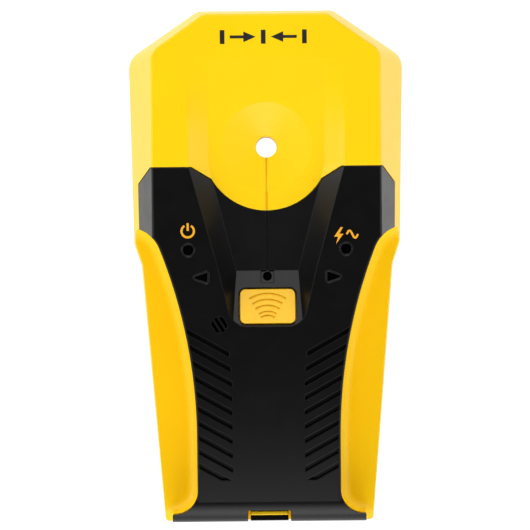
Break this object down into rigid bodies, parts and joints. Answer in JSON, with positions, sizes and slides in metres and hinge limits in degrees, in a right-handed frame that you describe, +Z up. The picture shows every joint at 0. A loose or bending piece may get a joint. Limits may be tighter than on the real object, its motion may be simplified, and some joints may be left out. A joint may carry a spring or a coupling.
{
  "type": "stud finder",
  "caption": "Hand-held electronic stud finder with a yellow head, black ribbed grip, marking hole, scan button, indicator lights and a hinged battery door.",
  "frame": {"origin": "centre of the bounding box, on the flat sensing face", "axes": "+Z up, out of the sensing face's back; +Y towards the sensing head; +X to the right, seen from above"},
  "size_m": [0.083, 0.155, 0.0324],
  "materials": {
    "yellow_plastic": "satin moulded",
    "black_plastic": "fine satin grain",
    "button_plastic": "satin moulded",
    "dark_lens": "smoked translucent",
    "led_epoxy": "diffused epoxy",
    "circuit_board": "solder mask",
    "copper_foil": "bare",
    "chip_black": "moulded epoxy",
    "tinned_metal": "tinned",
    "switch_body": "moulded",
    "piezo_case": "moulded",
    "battery_can": "plain printed jacket",
    "battery_metal": "nickel plated",
    "snap_vinyl": "soft vinyl",
    "red_wire": "pvc",
    "black_wire": "pvc",
    "grey_foam": "open-cell foam",
    "screw_steel": "zinc plated"
  },
  "bodies": {
    "housing": {"front_housing": "yellow_plastic", "rear_housing": "yellow_plastic", "handle_cover": "black_plastic", "tact_switch": "switch_body", "power_light_pipe": "dark_lens", "ac_light_pipe": "dark_lens", "left_arrow_light_pipe": "dark_lens", "right_arrow_light_pipe": "dark_lens", "center_light_pipe": "dark_lens", "power_led": "led_epoxy", "ac_led": "led_epoxy", "left_arrow_led": "led_epoxy", "right_arrow_led": "led_epoxy", "center_led": "led_epoxy", "main_pcb": "circuit_board", "sense_electrodes": "copper_foil", "microcontroller": "chip_black", "voltage_regulator": "chip_black", "filter_capacitor": "tinned_metal", "chip_parts": "chip_black", "buzzer": "piezo_case", "buzzer_leads": "black_wire", "battery_9v": "battery_can", "battery_terminals": "battery_metal", "battery_snap": "snap_vinyl", "battery_lead_red": "red_wire", "battery_lead_black": "black_wire", "battery_foam_pad": "grey_foam", "housing_screws": "screw_steel", "pcb_screws": "screw_steel"},
    "scan_button": {"scan_button": "button_plastic", "switch_plunger": "switch_body"},
    "battery_door": {"battery_door": "yellow_plastic", "latch_pad": "black_plastic"}
  },
  "joints": [
    {"name": "scan_button_press", "type": "slide", "parent": "housing", "child": "scan_button", "axis": [0, 0, -1], "range_m": [0, 0.0008], "stiffness_N_per_m": 2500, "springref_m": -0.0002},
    {"name": "battery_door_hinge", "type": "hinge", "parent": "housing", "child": "battery_door", "pos_m": [0, -0.022, 0.001], "axis": [1, 0, 0], "range_deg": [0, 95]}
  ]
}
